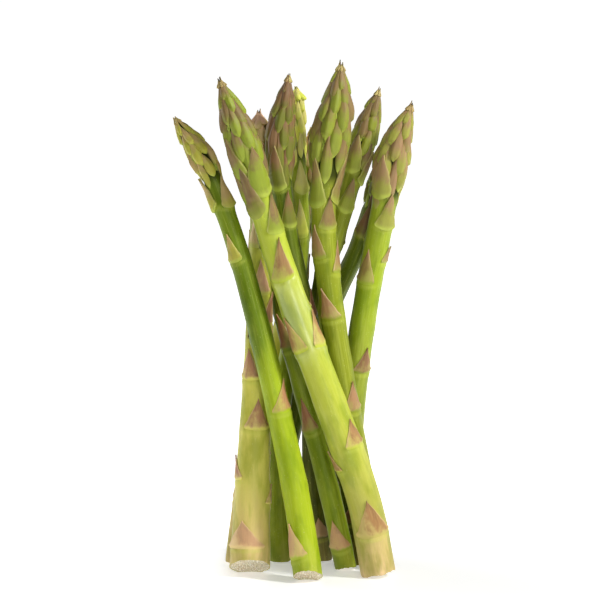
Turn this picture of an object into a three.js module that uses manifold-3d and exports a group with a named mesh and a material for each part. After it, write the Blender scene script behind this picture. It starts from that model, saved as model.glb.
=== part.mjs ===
// A bundle of eleven green asparagus spears that stands upright on its cut ends, in millimetres, +Z up.
// Each spear grew as one piece, so it is one solid: a bending stem with its triangular scales and a
// layered head. The view in which the bundle shows best looks along +Y.
import * as THREE from 'three';
import * as BufferGeometryUtils from 'three/addons/utils/BufferGeometryUtils.js';
import Module from 'manifold-3d';

const wasm = await Module();
wasm.setup();

// Driving dimensions
const GOLDEN_TURN = 137.5; // degrees between a scale and the next one up
const STEM_STEP = 20; // length of stem between two rings
const HEAD_STEPS = 5; // rings along a head
const WIDE_STEM = 5; // stems with a wider base than this radius get more sides
const SIDES = { wide: 10, slim: 8 };
const FLAT_DEPTH = 0.4; // how much of each cut end's low rim is worn flat
const SAMPLE_STEP = 3; // between the points of a middle line that distances are taken to
const CLEARANCE = 0.45; // kept between neighbouring spears
const ROOT_DEPTH = 1.2; // how far a scale's inner side is sunk in
const TIP_OVER = 0.8; // how far the last scales reach past a head's core
const CORE_SHARE = 0.78; // a head's core against the head's full radius
const STEM_SCALE = { halfTurn: 48, lift: 0.75, tipLift: 0.6 };
const HEAD_SCALE = { share: 0.36, topShare: 0.16, halfTurn: 46, lift: 1.1, tipLift: 0.55 };

// A head's radius along its length, against its widest one
const HEAD_PROFILES = {
  pointed: [[0, 0], [0.22, 0.88], [0.42, 1], [0.65, 0.84], [0.85, 0.52], [1, 0.12]],
  blunt: [[0, 0], [0.22, 0.88], [0.42, 1], [0.65, 0.96], [0.88, 0.76], [1, 0.2]],
};

// Each spear: the points that its middle line passes, from the ground up, with its radii at the base,
// below the head and at the head's widest place. taper shapes how the stem thins, cut holds how much
// the cut end rises along +X and +Y, tip names the head's profile, and each of scales is [height,
// facing, length, lean], where facing is in degrees from the front, positive to the right, and lean is
// how much further round its tip sits.
const SPEARS = [
  {
    name: 'spear_left_front', colour: 0x9cbc46,
    path: [[6, -27, 0], [1.5, -20, 31], [-7, -15, 72], [-17, -12, 113], [-25.5, -9, 142], [-36, -6, 168],
      [-48, -4, 185.5]],
    radii: [5.9, 3.6, 5.4], taper: 0.85, head: 32, cut: [0, -0.62],
    scales: [[9.5, -52, 14.5], [38, 165, 12], [67.5, 20, 13, 45], [98, -140, 12], [129, -35, 11.5],
      [151.5, -75, 13], [150, 45, 12]],
  },
  {
    name: 'spear_main_front', colour: 0xa9bf52,
    path: [[34.5, -14, 0], [28.5, -17, 31], [14.5, -17.5, 72], [-0.5, -15.5, 113], [-10, -13, 142],
      [-20, -12, 175], [-29.5, -12, 201]],
    radii: [7.3, 4.9, 7.2], taper: 0.7, head: 50, cut: [0.26, -0.05],
    scales: [[18.6, 12, 14.5], [46, -88, 9], [53.5, 48, 11], [72, 170, 13], [93.5, 68, 15], [94, -52, 15],
      [108, 150, 13], [121.5, -8, 17, 34], [134, -130, 15], [140, 40, 16, 12], [149.5, -35, 19],
      [153, -80, 14], [157, 22, 18], [163, -58, 18]],
  },
  {
    name: 'spear_left_thick', colour: 0xb5b574,
    path: [[-18, -13, 0], [-17, -8, 29.5], [-15.5, -3.5, 70.5], [-14, -1, 111.5], [-13.5, 4, 152],
      [-14.3, 6, 187]],
    radii: [8.6, 4.2, 5.6], taper: 1.6, head: 36, tip: 'blunt', cut: [0, -0.55],
    scales: [[11, -24, 11], [29, 98, 8], [38.5, -86, 10], [48, 150, 13], [59.3, 10, 12.5],
      [79.5, -35, 12.5], [97, 130, 13], [102, 62, 13], [114, 8, 14], [126, -120, 14], [134, -15, 16],
      [144, 100, 14]],
  },
  {
    name: 'spear_middle_front', colour: 0x7d9c33,
    path: [[21.5, 1, 0], [15.5, -3, 29], [4, -3.5, 74.5], [-1.5, -2.5, 95], [-6.5, 6.5, 112.5],
      [-10.5, 11.5, 132.5], [-10.5, 15, 155], [-8, 17, 171]],
    radii: [4.6, 3.6, 4.3], taper: 1, head: 22, cut: [0.15, -0.15],
    scales: [[9.8, -16, 13], [34, 160, 11], [58.5, -20, 14.5], [75, 120, 12], [92, -25, 14],
      [122, -150, 12], [140, 40, 12]],
  },
  {
    name: 'spear_dark_head', colour: 0x7d8a3a,
    path: [[24, 12, 0], [21.5, 11, 27.5], [13, 4.5, 69.5], [3.5, -1, 111.5], [-3, -3, 142.5],
      [-5.5, -4, 174], [-2, -4, 202.5]],
    radii: [4.5, 4, 6.2], taper: 1, head: 45, cut: [0.1, 0.1],
    scales: [[18, 10, 7], [44, 120, 12], [74, -160, 12], [104, 60, 12], [130, 170, 12],
      [143, 25, 14], [158, -22, 17]],
  },
  {
    name: 'spear_tallest', colour: 0x93a84a,
    path: [[33, 3, 0], [28.5, -1, 29], [21, -6, 71], [15, -5, 112], [12, -4, 145], [14, -4, 172],
      [17.5, -4, 192], [19, -4, 207]],
    radii: [5.6, 4.8, 8.1], taper: 1, head: 50, cut: [0.2, 0.05],
    scales: [[26, 150, 12], [67, 40, 12], [86, -170, 12], [104.5, -8, 13, -28], [123, 74, 13],
      [129.5, -45, 13.5], [136, 170, 13], [141.5, 27, 13], [152, -40, 17.5], [153, 75, 19]],
  },
  {
    name: 'spear_back_right_lean', colour: 0x8fa03c,
    path: [[11.5, 22, 0], [8.2, 18.5, 30], [7.6, 14, 66], [11.2, 9.5, 114.5], [18.6, 8.5, 141.5],
      [26.3, 9, 169], [34.5, 10, 196]],
    radii: [4.4, 3.8, 5.6], taper: 1, head: 36, cut: [0, 0.2],
    scales: [[10.5, 12, 9], [40, 170, 11], [70, 60, 11], [96, -150, 11], [121.5, -75, 6],
      [134, 140, 11], [148.5, 8, 12.5], [160, 70, 13], [164, -25, 14]],
  },
  {
    name: 'spear_right', colour: 0x93a546,
    path: [[22, 27.5, 0], [22, 21, 34.5], [24.5, 11.5, 72.5], [29.5, 5, 110.5], [35.5, 2, 144], [41, 1, 173],
      [47.5, 0, 190.5]],
    radii: [5.6, 5, 7], taper: 1, head: 42, cut: [0, 0.2],
    scales: [[20, 120, 11], [52, -150, 12], [81.8, 35, 11], [100, 165, 12], [118.5, -30, 14],
      [127.5, 80, 7], [134, -150, 12], [142, 25, 13.5], [154.5, -32, 16]],
  },
  {
    name: 'spear_back_slim', colour: 0x9db64e,
    path: [[-5.5, 20, 0], [-6.8, 18, 26.5], [-6, 14.5, 60], [0.6, 13.2, 106], [3, 10.5, 143],
      [1.4, 11, 172], [1, 12, 196.5]],
    radii: [4.6, 3.3, 4], taper: 1, head: 32, tip: 'blunt', cut: [0.05, 0.1],
    scales: [[30, 150, 10], [62, 160, 10], [94, -70, 11], [118, 110, 11], [137, 0, 15], [155.5, 15, 12]],
  },
  {
    name: 'spear_back_right_short', colour: 0x77823a,
    path: [[-9, 28.5, 0], [-5, 27.5, 33.5], [2, 25, 67], [14.5, 20.5, 105], [26, 14.5, 130.5],
      [33, 14.8, 152], [38, 15.4, 172]],
    radii: [4.2, 3.8, 4.7], taper: 1, head: 28, cut: [0, 0],
    scales: [[24, 40, 10], [58, -140, 11], [88, 100, 11], [112, -60, 11], [137, -10, 13]],
  },
  {
    name: 'spear_back_left_foot', colour: 0x8c9c48,
    path: [[-24.5, 17, 0], [-20.8, 20, 26.5], [-11.3, 23.3, 63.5], [-6, 23.5, 92.5], [0.5, 21.5, 125.5],
      [3.8, 20, 142], [6.5, 18.8, 163], [7, 18.5, 179.5]],
    radii: [4.2, 3.1, 3.7], taper: 1, head: 24, cut: [-0.1, 0.1],
    scales: [[25.5, -80, 15], [52, 60, 10], [84, 170, 11], [112, -60, 11], [134, 100, 10],
      [144.5, 0, 12]],
  },
];

const degrees = THREE.MathUtils.degToRad;
const lerp = THREE.MathUtils.lerp;

// The value at u of a curve given by [place, value] points, straight between them
function along(points, u) {
  const next = Math.max(1, points.findIndex(([place]) => place >= u));
  const [[placeA, valueA], [placeB, valueB]] = [points[next - 1], points[next]];
  return lerp(valueA, valueB, (u - placeA) / (placeB - placeA));
}

// A spear with its middle line, its length and the place where its head begins
function grow(spear) {
  const points = spear.path.map((point) => new THREE.Vector3(...point));
  const curve = new THREE.CatmullRomCurve3(points, false, 'centripetal');
  const length = curve.getLength();
  const samples = curve.getSpacedPoints(Math.round(length / SAMPLE_STEP));
  return { ...spear, curve, length, samples, headStart: length - spear.head };
}

// The full radius at length s from the cut end
function fullRadius(spear, s) {
  const [base, neck, head] = spear.radii;
  if (s < spear.headStart) {
    return neck + (base - neck) * (1 - Math.max(s, 0) / spear.headStart) ** spear.taper;
  }
  const u = Math.min(1, (s - spear.headStart) / spear.head);
  const profile = HEAD_PROFILES[spear.tip ?? 'pointed'];
  const [firstPlace, firstShare] = profile[1];
  return u < firstPlace ? lerp(neck, head * firstShare, u / firstPlace) : head * along(profile, u);
}

// The radius without the scales, which shrinks to a core inside the head
function bareRadius(spear, s) {
  const inHead = THREE.MathUtils.smoothstep(s, spear.headStart, spear.headStart + spear.head * 0.3);
  return fullRadius(spear, s) * lerp(1, CORE_SHARE, inHead);
}

// The middle point, the direction of growth and the front and right directions at length s
function frameAt(spear, s) {
  const u = THREE.MathUtils.clamp(s / spear.length, 0, 1);
  const tangent = spear.curve.getTangentAt(u);
  const middle = spear.curve.getPointAt(u).addScaledVector(tangent, s - u * spear.length);
  const right = new THREE.Vector3().crossVectors(tangent, new THREE.Vector3(0, 1, 0)).normalize().negate();
  const front = new THREE.Vector3().crossVectors(tangent, right).normalize().negate();
  if (front.y > 0) front.negate();
  if (right.x < 0) right.negate();
  return { middle, tangent, right, front };
}

// The point at length s and a facing in degrees, at a distance from the middle line
function pointOn(spear, s, facing, distance) {
  const { middle, right, front } = frameAt(spear, s);
  return middle
    .addScaledVector(front, Math.cos(degrees(facing)) * distance)
    .addScaledVector(right, Math.sin(degrees(facing)) * distance);
}

// The length from the cut end at which the middle line reaches a height
function lengthAtHeight(spear, height) {
  const next = spear.samples.findIndex((p) => p.z >= height);
  return (next / (spear.samples.length - 1)) * spear.length;
}

// How far a point is outside a spear's full radius, and the nearest point of its middle line
function outsideOf(spear, point) {
  let best = { gap: Infinity };
  spear.samples.forEach((sample, i) => {
    const s = (i / (spear.samples.length - 1)) * spear.length;
    const gap = point.distanceTo(sample) - fullRadius(spear, s);
    if (gap < best.gap) best = { gap, middle: sample };
  });
  return best;
}

// Bends a point clear: it stays nearer to its own spear than to any other
function keepClear(spear, point) {
  const others = spears.filter((other) => other !== spear);
  for (let pass = 0; pass < 4; pass += 1) {
    const own = outsideOf(spear, point);
    const nearest = Math.min(...others.map((other) => outsideOf(other, point).gap));
    const excess = own.gap + CLEARANCE - nearest;
    if (excess <= 0) return point;
    point.lerp(own.middle, Math.min(0.9, (0.5 * excess) / point.distanceTo(own.middle)));
  }
  return point;
}

// A closed solid from rings of equal count, with a fan over the first ring and one to the last point
function ringSolid(rings, firstMiddle, lastPoint) {
  const count = rings[0].length;
  const points = [...rings.flat(), firstMiddle, lastPoint];
  const [first, last] = [points.length - 2, points.length - 1];
  const index = [];
  for (let i = 0; i < count; i += 1) {
    const next = (i + 1) % count;
    index.push(first, next, i);
    for (let r = 0; r < rings.length - 1; r += 1) {
      const [a, b] = [r * count + i, r * count + next];
      index.push(a, b, b + count, a, b + count, a + count);
    }
    const top = (rings.length - 1) * count;
    index.push(top + i, top + next, last);
  }
  const geometry = new THREE.BufferGeometry();
  geometry.setAttribute('position', new THREE.Float32BufferAttribute(points.flatMap((p) => p.toArray()), 3));
  geometry.setIndex(index);
  return geometry;
}

function toSolid(geometry) {
  const bare = geometry.clone();
  bare.deleteAttribute('normal');
  bare.deleteAttribute('uv');
  const merged = BufferGeometryUtils.mergeVertices(bare);
  return new wasm.Manifold(new wasm.Mesh({
    numProp: 3,
    vertProperties: new Float32Array(merged.attributes.position.array),
    triVerts: new Uint32Array(merged.index.array),
  }));
}

function toGeometry(solid) {
  const mesh = solid.getMesh();
  const geometry = new THREE.BufferGeometry();
  geometry.setAttribute('position', new THREE.Float32BufferAttribute(mesh.vertProperties, 3));
  geometry.setIndex(new THREE.Uint32BufferAttribute(mesh.triVerts, 1));
  return geometry;
}

// The ring of the cut end: each side of the stem runs on to the sloping cut
function cutRing(spear, sides) {
  const { middle, tangent } = frameAt(spear, 0);
  const [slopeX, slopeY] = spear.cut;
  const fall = tangent.z - slopeX * tangent.x - slopeY * tangent.y;
  const ring = Array.from({ length: sides }, (_, i) => {
    const point = pointOn(spear, 0, (360 * i) / sides, fullRadius(spear, 0));
    const rise = slopeX * (point.x - middle.x) + slopeY * (point.y - middle.y);
    return point.addScaledVector(tangent, (rise - point.z) / fall);
  });
  const isFlat = slopeX === 0 && slopeY === 0;
  const drop = Math.min(...ring.map((p) => p.z)) + (isFlat ? 0 : FLAT_DEPTH);
  ring.forEach((p) => p.addScaledVector(tangent, -drop / fall));
  return ring;
}

function stemSolid(spear) {
  const sides = spear.radii[0] > WIDE_STEM ? SIDES.wide : SIDES.slim;
  const stemSteps = Math.round(spear.headStart / STEM_STEP);
  const places = Array.from({ length: stemSteps }, (_, i) => ((i + 1) / stemSteps) * spear.headStart);
  for (let i = 1; i < HEAD_STEPS; i += 1) {
    places.push(spear.headStart + (i / HEAD_STEPS) * spear.head);
  }
  const rings = places.map((s) => Array.from({ length: sides },
    (_, i) => keepClear(spear, pointOn(spear, s, (360 * i) / sides, bareRadius(spear, s)))));
  const first = cutRing(spear, sides);
  const firstMiddle = first.reduce((sum, p) => sum.add(p), new THREE.Vector3()).divideScalar(sides);
  return toSolid(ringSolid([first, ...rings], firstMiddle, pointOn(spear, spear.length - 1, 0, 0)));
}

// A pointed scale as a closed blade: its inner side is sunk in the stem, its outer side stands out
function scaleSolid(spear, { s, facing, length, lean, halfTurn, columns, lift, tipLift, shoulder }) {
  const rows = [0, 0.5];
  const rings = rows.map((v) => {
    const here = s + v * length;
    const radius = bareRadius(spear, here);
    const spread = halfTurn * (1 - v ** shoulder);
    const height = lerp(lift * 0.45, lift, Math.sqrt(v));
    const outer = Array.from({ length: columns }, (_, i) => {
      const across = (2 * i) / (columns - 1) - 1;
      const edge = radius + height * (1 - 0.55 * across * across);
      return keepClear(spear, pointOn(spear, here, facing + lean * v + across * spread, edge));
    });
    const inner = pointOn(spear, here, facing + lean * v, radius - ROOT_DEPTH);
    return [...outer, inner];
  });
  const tipAt = s + length;
  const tipRadius = bareRadius(spear, tipAt) + lift + tipLift;
  const tip = keepClear(spear, pointOn(spear, tipAt, facing + lean, tipRadius));
  const foot = rings[0].reduce((sum, p) => sum.add(p), new THREE.Vector3()).divideScalar(columns + 1);
  return toSolid(ringSolid(rings, foot, tip));
}

function stemScales(spear) {
  return spear.scales.map(([height, facing, length, lean = 0]) => scaleSolid(spear, {
    s: lengthAtHeight(spear, height), facing, length, lean, columns: 3, shoulder: 1.15, ...STEM_SCALE,
  }));
}

// A head's scales turn round it by the golden angle, and get closer and shorter towards its tip
function headScales(spear) {
  const count = Math.round(8 + spear.head * 0.18);
  const firstFacing = spear.path[0][0] * 31;
  return Array.from({ length: count }, (_, k) => {
    const u = 0.9 * (k / count) ** 0.92;
    const s = spear.headStart + u * spear.head;
    const ownLength = spear.head * lerp(HEAD_SCALE.share, HEAD_SCALE.topShare, u);
    return scaleSolid(spear, {
      s,
      facing: firstFacing + k * GOLDEN_TURN,
      length: Math.min(ownLength, spear.length + TIP_OVER - s),
      lean: 0,
      columns: 3,
      shoulder: 1.9,
      ...HEAD_SCALE,
    });
  });
}

const spears = SPEARS.map(grow);

const ground = toSolid(new THREE.BoxGeometry(200, 200, 20).translate(0, 0, -10));

function spearMesh(spear) {
  const grown = [...stemScales(spear), ...headScales(spear)]
    .reduce((whole, scale) => whole.add(scale), stemSolid(spear));
  const standing = grown.subtract(ground);
  const mesh = new THREE.Mesh(
    toGeometry(standing),
    new THREE.MeshStandardMaterial({ color: spear.colour, roughness: 0.5, metalness: 0 }),
  );
  mesh.name = spear.name;
  return mesh;
}

const bundle = new THREE.Group();
spears.forEach((spear) => bundle.add(spearMesh(spear)));

export default bundle;
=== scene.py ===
import math

import bpy
import numpy as np
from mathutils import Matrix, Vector


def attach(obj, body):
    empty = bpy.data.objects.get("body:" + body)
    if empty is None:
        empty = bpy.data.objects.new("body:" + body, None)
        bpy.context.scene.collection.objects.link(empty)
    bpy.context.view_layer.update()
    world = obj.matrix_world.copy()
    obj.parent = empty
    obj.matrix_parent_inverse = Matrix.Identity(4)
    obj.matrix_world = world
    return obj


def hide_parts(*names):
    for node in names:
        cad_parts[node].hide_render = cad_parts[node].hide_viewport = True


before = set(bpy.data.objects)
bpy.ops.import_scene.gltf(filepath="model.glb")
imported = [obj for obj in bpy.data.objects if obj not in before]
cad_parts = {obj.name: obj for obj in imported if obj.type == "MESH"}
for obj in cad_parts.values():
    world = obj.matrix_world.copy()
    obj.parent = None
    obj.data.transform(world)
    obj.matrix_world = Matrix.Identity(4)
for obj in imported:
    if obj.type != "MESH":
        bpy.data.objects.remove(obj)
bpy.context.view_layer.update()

# A bundle of eleven green asparagus spears that stands on its cut ends. Lengths are in millimetres
# until a mesh is made, and angles in degrees. facing 0 is the front, -Y, and grows towards +X.

MM = 0.001
SEED = 40
GOLDEN_TURN = 137.5

# Scales bend clear of the neighbours: the gap they keep, how far off neighbours are looked for, how
# often a scale is bent, and the most of its way to the middle line that a point moves at once
CLEARANCE = 0.3
NEAR = 4
BENDS = 3
MOST_BEND = 0.9

# Meshes: points round a stem, the height of its rows, places sampled along its middle line, points
# round the face under the vein ends, the angle that reads as a sharp edge, and the rows and columns
# of a scale
STEM_COLUMNS = 64
STEM_ROW = 1.1
LINE_PLACES = 400
FACE_COLUMNS = 24
SHARP_EDGE = 60
STEM_SCALE_GRID = (30, 21)
HEAD_SCALE_GRID = (19, 13)
WISP_GRID = (9, 5)
BUD_GRID = (9, 7)

# Relief of a stem's skin: ribs as (how many round it, height), bulges as (how many round it, the
# length in which they turn by a radian, height), how far they go on under the head, the rim that a
# scale grows from and the facings where it fades, the joint at its height, and the foot's rounding
RIBS = ((17, 0.016), (26, 0.006))
BULGES = ((2, 31, 0.10), (3, -43, 0.07))
RELIEF_END = 8
RIM_HEIGHT = 0.3
RIM_WIDTH = 1.2
RIM_BELOW = 0.7
RIM_BOW = 0.07
RIM_FADE = (40, 95)
JOINT_HEIGHT = 0.16
JOINT_WIDTH = 4.5
FOOT_ROUNDING = 0.06

# The cut end: how deep a sloping cut's low rim is worn flat, how far up the stem its slope is felt,
# how far its rim is torn, and rings from the rim inwards as (share of the rim, depth, raggedness)
FLAT_DEPTH = 0.4
CUT_REACH = 18
TORN = 0.16
CUT_RINGS = (
    (1, 0, 0), (0.975, 0.02, 0.02), (0.94, 0.22, 0.06), (0.8, 0.3, 0.1),
    (0.6, 0.34, 0.1), (0.4, 0.36, 0.1), (0.2, 0.38, 0.05), (0.01, 0.38, 0),
)

# Vein ends on the cut: the most of them for each square metre, the gap between them, their radius,
# how their size varies, and how far their layer is inside the rim's plane and above the ground
VEIN_DENSITY = 1.6e6
VEIN_SPACING = 0.86
VEIN_RADIUS = 0.31
VEIN_SIZES = (0.5, 1.2)
VEIN_LIFT = 0.25
VEIN_GROUND = 0.12

# Heads: the core against the full radius, how far scales may reach past the spear's end, and what
# brings a scale's outline to 1 at its widest. A scale is fresh, dry, or a bud.
CORE_SHARE = 0.62
TIP_OVER = 0.8
TEARDROP = 2.59
FRESH, DRY, BUD = 0.0, 1.0, -1.0

# Scales: where a stem's flat ones change to collars, how thick they are, how many a head has at
# least and for each millimetre, and how far apart they sample their noise
COLLARS = (0.66, 0.76)
SCALE_THICKNESS = 0.34
HEAD_SCALES, SCALES_PER_MM = 7, 0.56
GRAIN_SHIFT = 40

# Buds: the shares of the head between which they show, how many in a row, their size and stand
BUDS_FROM, BUDS_TO = 0.05, 0.6
BUD_ROW = 3
BUD_LENGTH, BUD_HALF_WIDTH, BUD_STAND = 4.6, 1.1, 0.55

# Ends that close a head's tip, as (how many, length, half width, state)
WISPS = {"pointed": (7, 2.4, 0.8, DRY), "blunt": (6, 4.8, 1.7, FRESH)}

# A head's radius as (share of the head's length, share of the widest radius)
HEAD_PROFILES = {
    "pointed": np.array([[0, 0], [0.22, 0.88], [0.42, 1], [0.65, 0.84], [0.85, 0.52], [1, 0.12]]),
    "blunt": np.array([[0, 0], [0.22, 0.88], [0.42, 1], [0.65, 0.96], [0.88, 0.76], [1, 0.2]]),
}

# The photo's frame: what one pixel spans at the bundle, where the origin shows, and the view's tilt
PHOTO_SIZE = 612
PIXEL = 0.41
ORIGIN_PIXEL = (294, 569.5)
VIEW_DROP = 7
CAMERA_AWAY = 1600
SENSOR = 36

# Lights in metres and watts, as (name, place, size, power), the point they aim at, and how much of
# the backdrop's white falls on the bundle
LIGHTS = [
    ("key", (0.98, -0.52, 1.03), (0.22, 0.22), 18.5),
    ("front", (0.22, -1.3, 0.42), (0.24, 0.50), 4.3),
    ("left_rim", (-0.85, 0.45, 0.35), (0.5, 0.9), 4.5),
    ("right_rim", (0.95, 0.35, 0.35), (0.3, 0.9), 2.5),
    ("top", (-0.1, 0.0, 1.5), (1.2, 1.2), 1.5),
]
LIGHT_TARGET = (0, 0, 0.1)
AMBIENT = 0.04

# The floor, in metres: its size and colour, and the zones where it glows so that it stays white,
# each from nothing at its first number to all at its second
FLOOR_SIZE = 80
FLOOR_COLOUR = (0.86, 0.86, 0.86)
NEAR_ZONE, NEAR_GLOW = (1.3, 0.4), 0.38
LEFT_X, LEFT_Y, LEFT_GLOW = (-0.012, -0.034), (-0.17, -0.09), 0.8
BEHIND_X, BEHIND_Y, BEHIND_SPREAD = (0.6, 0.3), (-0.05, 0.14), 0.1

# Coats of wax: the index of a plain one, and the place of the gleam on a spear that has none
PLAIN_GLOSS = 1.5
NO_GLEAM = -1

# Skin colours from the cut end up, as (share of the spear's length, colour), then the scales'
# colours: low ones at their middle and edge, high ones at their root and tip
# Painted shadow: the front left spear's dark band, half to three quarters up, is the main spear's shadow;
# its darker top is its own green
BRIGHT = {
    "skin": [(0.0, (0.46, 0.50, 0.06)), (0.08, (0.40, 0.50, 0.012)), (0.40, (0.36, 0.47, 0.012)),
             (0.5, (0.16, 0.24, 0.005)), (0.62, (0.14, 0.21, 0.004)), (0.74, (0.19, 0.27, 0.008)),
             (1.0, (0.14, 0.19, 0.008))],
    "low": ((0.42, 0.20, 0.09), (0.68, 0.46, 0.18)),
    "high": ((0.44, 0.42, 0.05), (0.48, 0.34, 0.13)),
}
MAIN = {
    "skin": [(0.0, (0.78, 0.54, 0.30)), (0.05, (0.60, 0.45, 0.16)), (0.13, (0.46, 0.44, 0.07)),
             (0.3, (0.50, 0.54, 0.05)), (0.6, (0.50, 0.58, 0.045)), (1.0, (0.36, 0.45, 0.025))],
    "low": ((0.38, 0.20, 0.07), (0.64, 0.46, 0.18)),
    "high": ((0.27, 0.33, 0.025), (0.25, 0.16, 0.06)),
}
PALE = {
    "skin": [(0.0, (0.84, 0.60, 0.32)), (0.08, (0.72, 0.56, 0.19)), (0.2, (0.68, 0.62, 0.13)),
             (0.45, (0.66, 0.62, 0.10)), (0.8, (0.34, 0.37, 0.04)), (1.0, (0.30, 0.30, 0.05))],
    "low": ((0.42, 0.20, 0.10), (0.74, 0.52, 0.24)),
    # The high scales' dry pink is their own, made paler still as painted light for the thick left spear's
    # head, which sits in shade
    "high": ((0.66, 0.50, 0.22), (0.80, 0.50, 0.32)),
}
DARK = {
    "skin": [(0.0, (0.20, 0.18, 0.03)), (0.1, (0.10, 0.13, 0.004)), (0.5, (0.10, 0.15, 0.005)),
             (1.0, (0.15, 0.19, 0.012))],
    "low": ((0.24, 0.10, 0.05), (0.40, 0.24, 0.10)),
    "high": ((0.17, 0.18, 0.02), (0.24, 0.13, 0.055)),
}
OLIVE = {
    "skin": [(0.0, (0.40, 0.36, 0.10)), (0.1, (0.26, 0.28, 0.02)), (0.6, (0.27, 0.32, 0.015)),
             (1.0, (0.28, 0.29, 0.03))],
    "low": ((0.38, 0.20, 0.09), (0.56, 0.40, 0.18)),
    "high": ((0.26, 0.30, 0.03), (0.28, 0.18, 0.065)),
}
RIGHT = {
    "skin": [(0.0, (0.40, 0.36, 0.10)), (0.3, (0.32, 0.36, 0.04)), (0.6, (0.32, 0.42, 0.012)),
             (1.0, (0.28, 0.32, 0.03))],
    "low": ((0.26, 0.13, 0.055), (0.50, 0.34, 0.15)),
    "high": ((0.32, 0.32, 0.05), (0.36, 0.22, 0.10)),
}
FRONT_DARK = {
    "skin": [(0.0, (0.30, 0.34, 0.03)), (0.1, (0.24, 0.31, 0.012)), (0.4, (0.22, 0.29, 0.01)),
             (1.0, (0.13, 0.17, 0.012))],
    "low": ((0.32, 0.14, 0.06), (0.50, 0.30, 0.13)),
    "high": ((0.20, 0.22, 0.025), (0.27, 0.16, 0.07)),
}
LEAN = {
    "skin": [(0.0, (0.22, 0.18, 0.05)), (0.1, (0.10, 0.11, 0.008)), (0.5, (0.12, 0.15, 0.008)),
             (0.75, (0.27, 0.31, 0.02)), (1.0, (0.28, 0.29, 0.03))],
    "low": ((0.17, 0.07, 0.03), (0.30, 0.17, 0.07)),
    "high": ((0.27, 0.30, 0.03), (0.26, 0.17, 0.065)),
}
SLIM = {
    "skin": [(0.0, (0.34, 0.36, 0.05)), (0.04, (0.25, 0.31, 0.01)), (0.5, (0.24, 0.32, 0.01)),
             (1.0, (0.36, 0.42, 0.03))],
    "low": ((0.34, 0.18, 0.08), (0.56, 0.40, 0.18)),
    # Painted light: these head colours are paler than the back slim spear's own green, to make up for the
    # shade it stands in
    "high": ((0.70, 0.74, 0.10), (0.68, 0.62, 0.18)),
}

# Colours that all spears share: painted shade in crevices, what mottles multiply the skin by, streaks,
# the rim below a scale, specks, the lowest scales, the edge and root of high scales, dry tips, buds
# Painted shade: near black green laid in the crevices of the head and on its core
CREVICE_SHADE = (0.02, 0.026, 0.002)
MOTTLE_SHADE = (0.58, 0.66, 0.35)
STREAK_GREEN = (0.66, 0.68, 0.14)
RIM_GREEN = (0.56, 0.60, 0.09)
SPECK_CREAM = (0.70, 0.68, 0.30)
FOOT_PINK = (0.95, 0.64, 0.33)
LEAF_EDGE = (0.56, 0.54, 0.16)
LEAF_ROOT = (0.46, 0.54, 0.07)
DRY_STRAW = (0.50, 0.42, 0.14)
DRY_BROWN = (0.36, 0.24, 0.09)
BUD_GREEN = (0.34, 0.42, 0.05)

# Colours of the cut: fibres, blotches and the skin's lip, then the vein ends
FIBRE_DARK = (0.50, 0.42, 0.27)
FIBRE_PALE = (0.88, 0.80, 0.62)
BLOTCH_TAN = (0.58, 0.52, 0.30)
LIP_GREEN = (0.42, 0.42, 0.12)
VEIN_PALE = (0.95, 0.92, 0.82)
VEIN_TAN = (0.78, 0.70, 0.50)

# Noise patterns, in cycles for each millimetre across, outwards and along a piece. The vein ends'
# one is in cycles for each metre.
STREAKS = (1.7, 1.7, 0.045)
FINE_LINES = (5.5, 5.5, 0.12)
MOTTLES = (0.16, 0.16, 0.05)
SPECKS = (2.6, 2.6, 1.1)
WAX_PATCHES = (0.28, 0.28, 0.16)
SCALE_VEINS = (3.2, 1.0, 0.14)
SCALE_CLOUDS = (0.35, 1.0, 0.22)
FIBRES = (1.6, 1.6, 0.2)
BLOTCHES = (0.45, 0.45, 0.2)
VEIN_SPOTS = (900, 900, 900)

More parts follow.
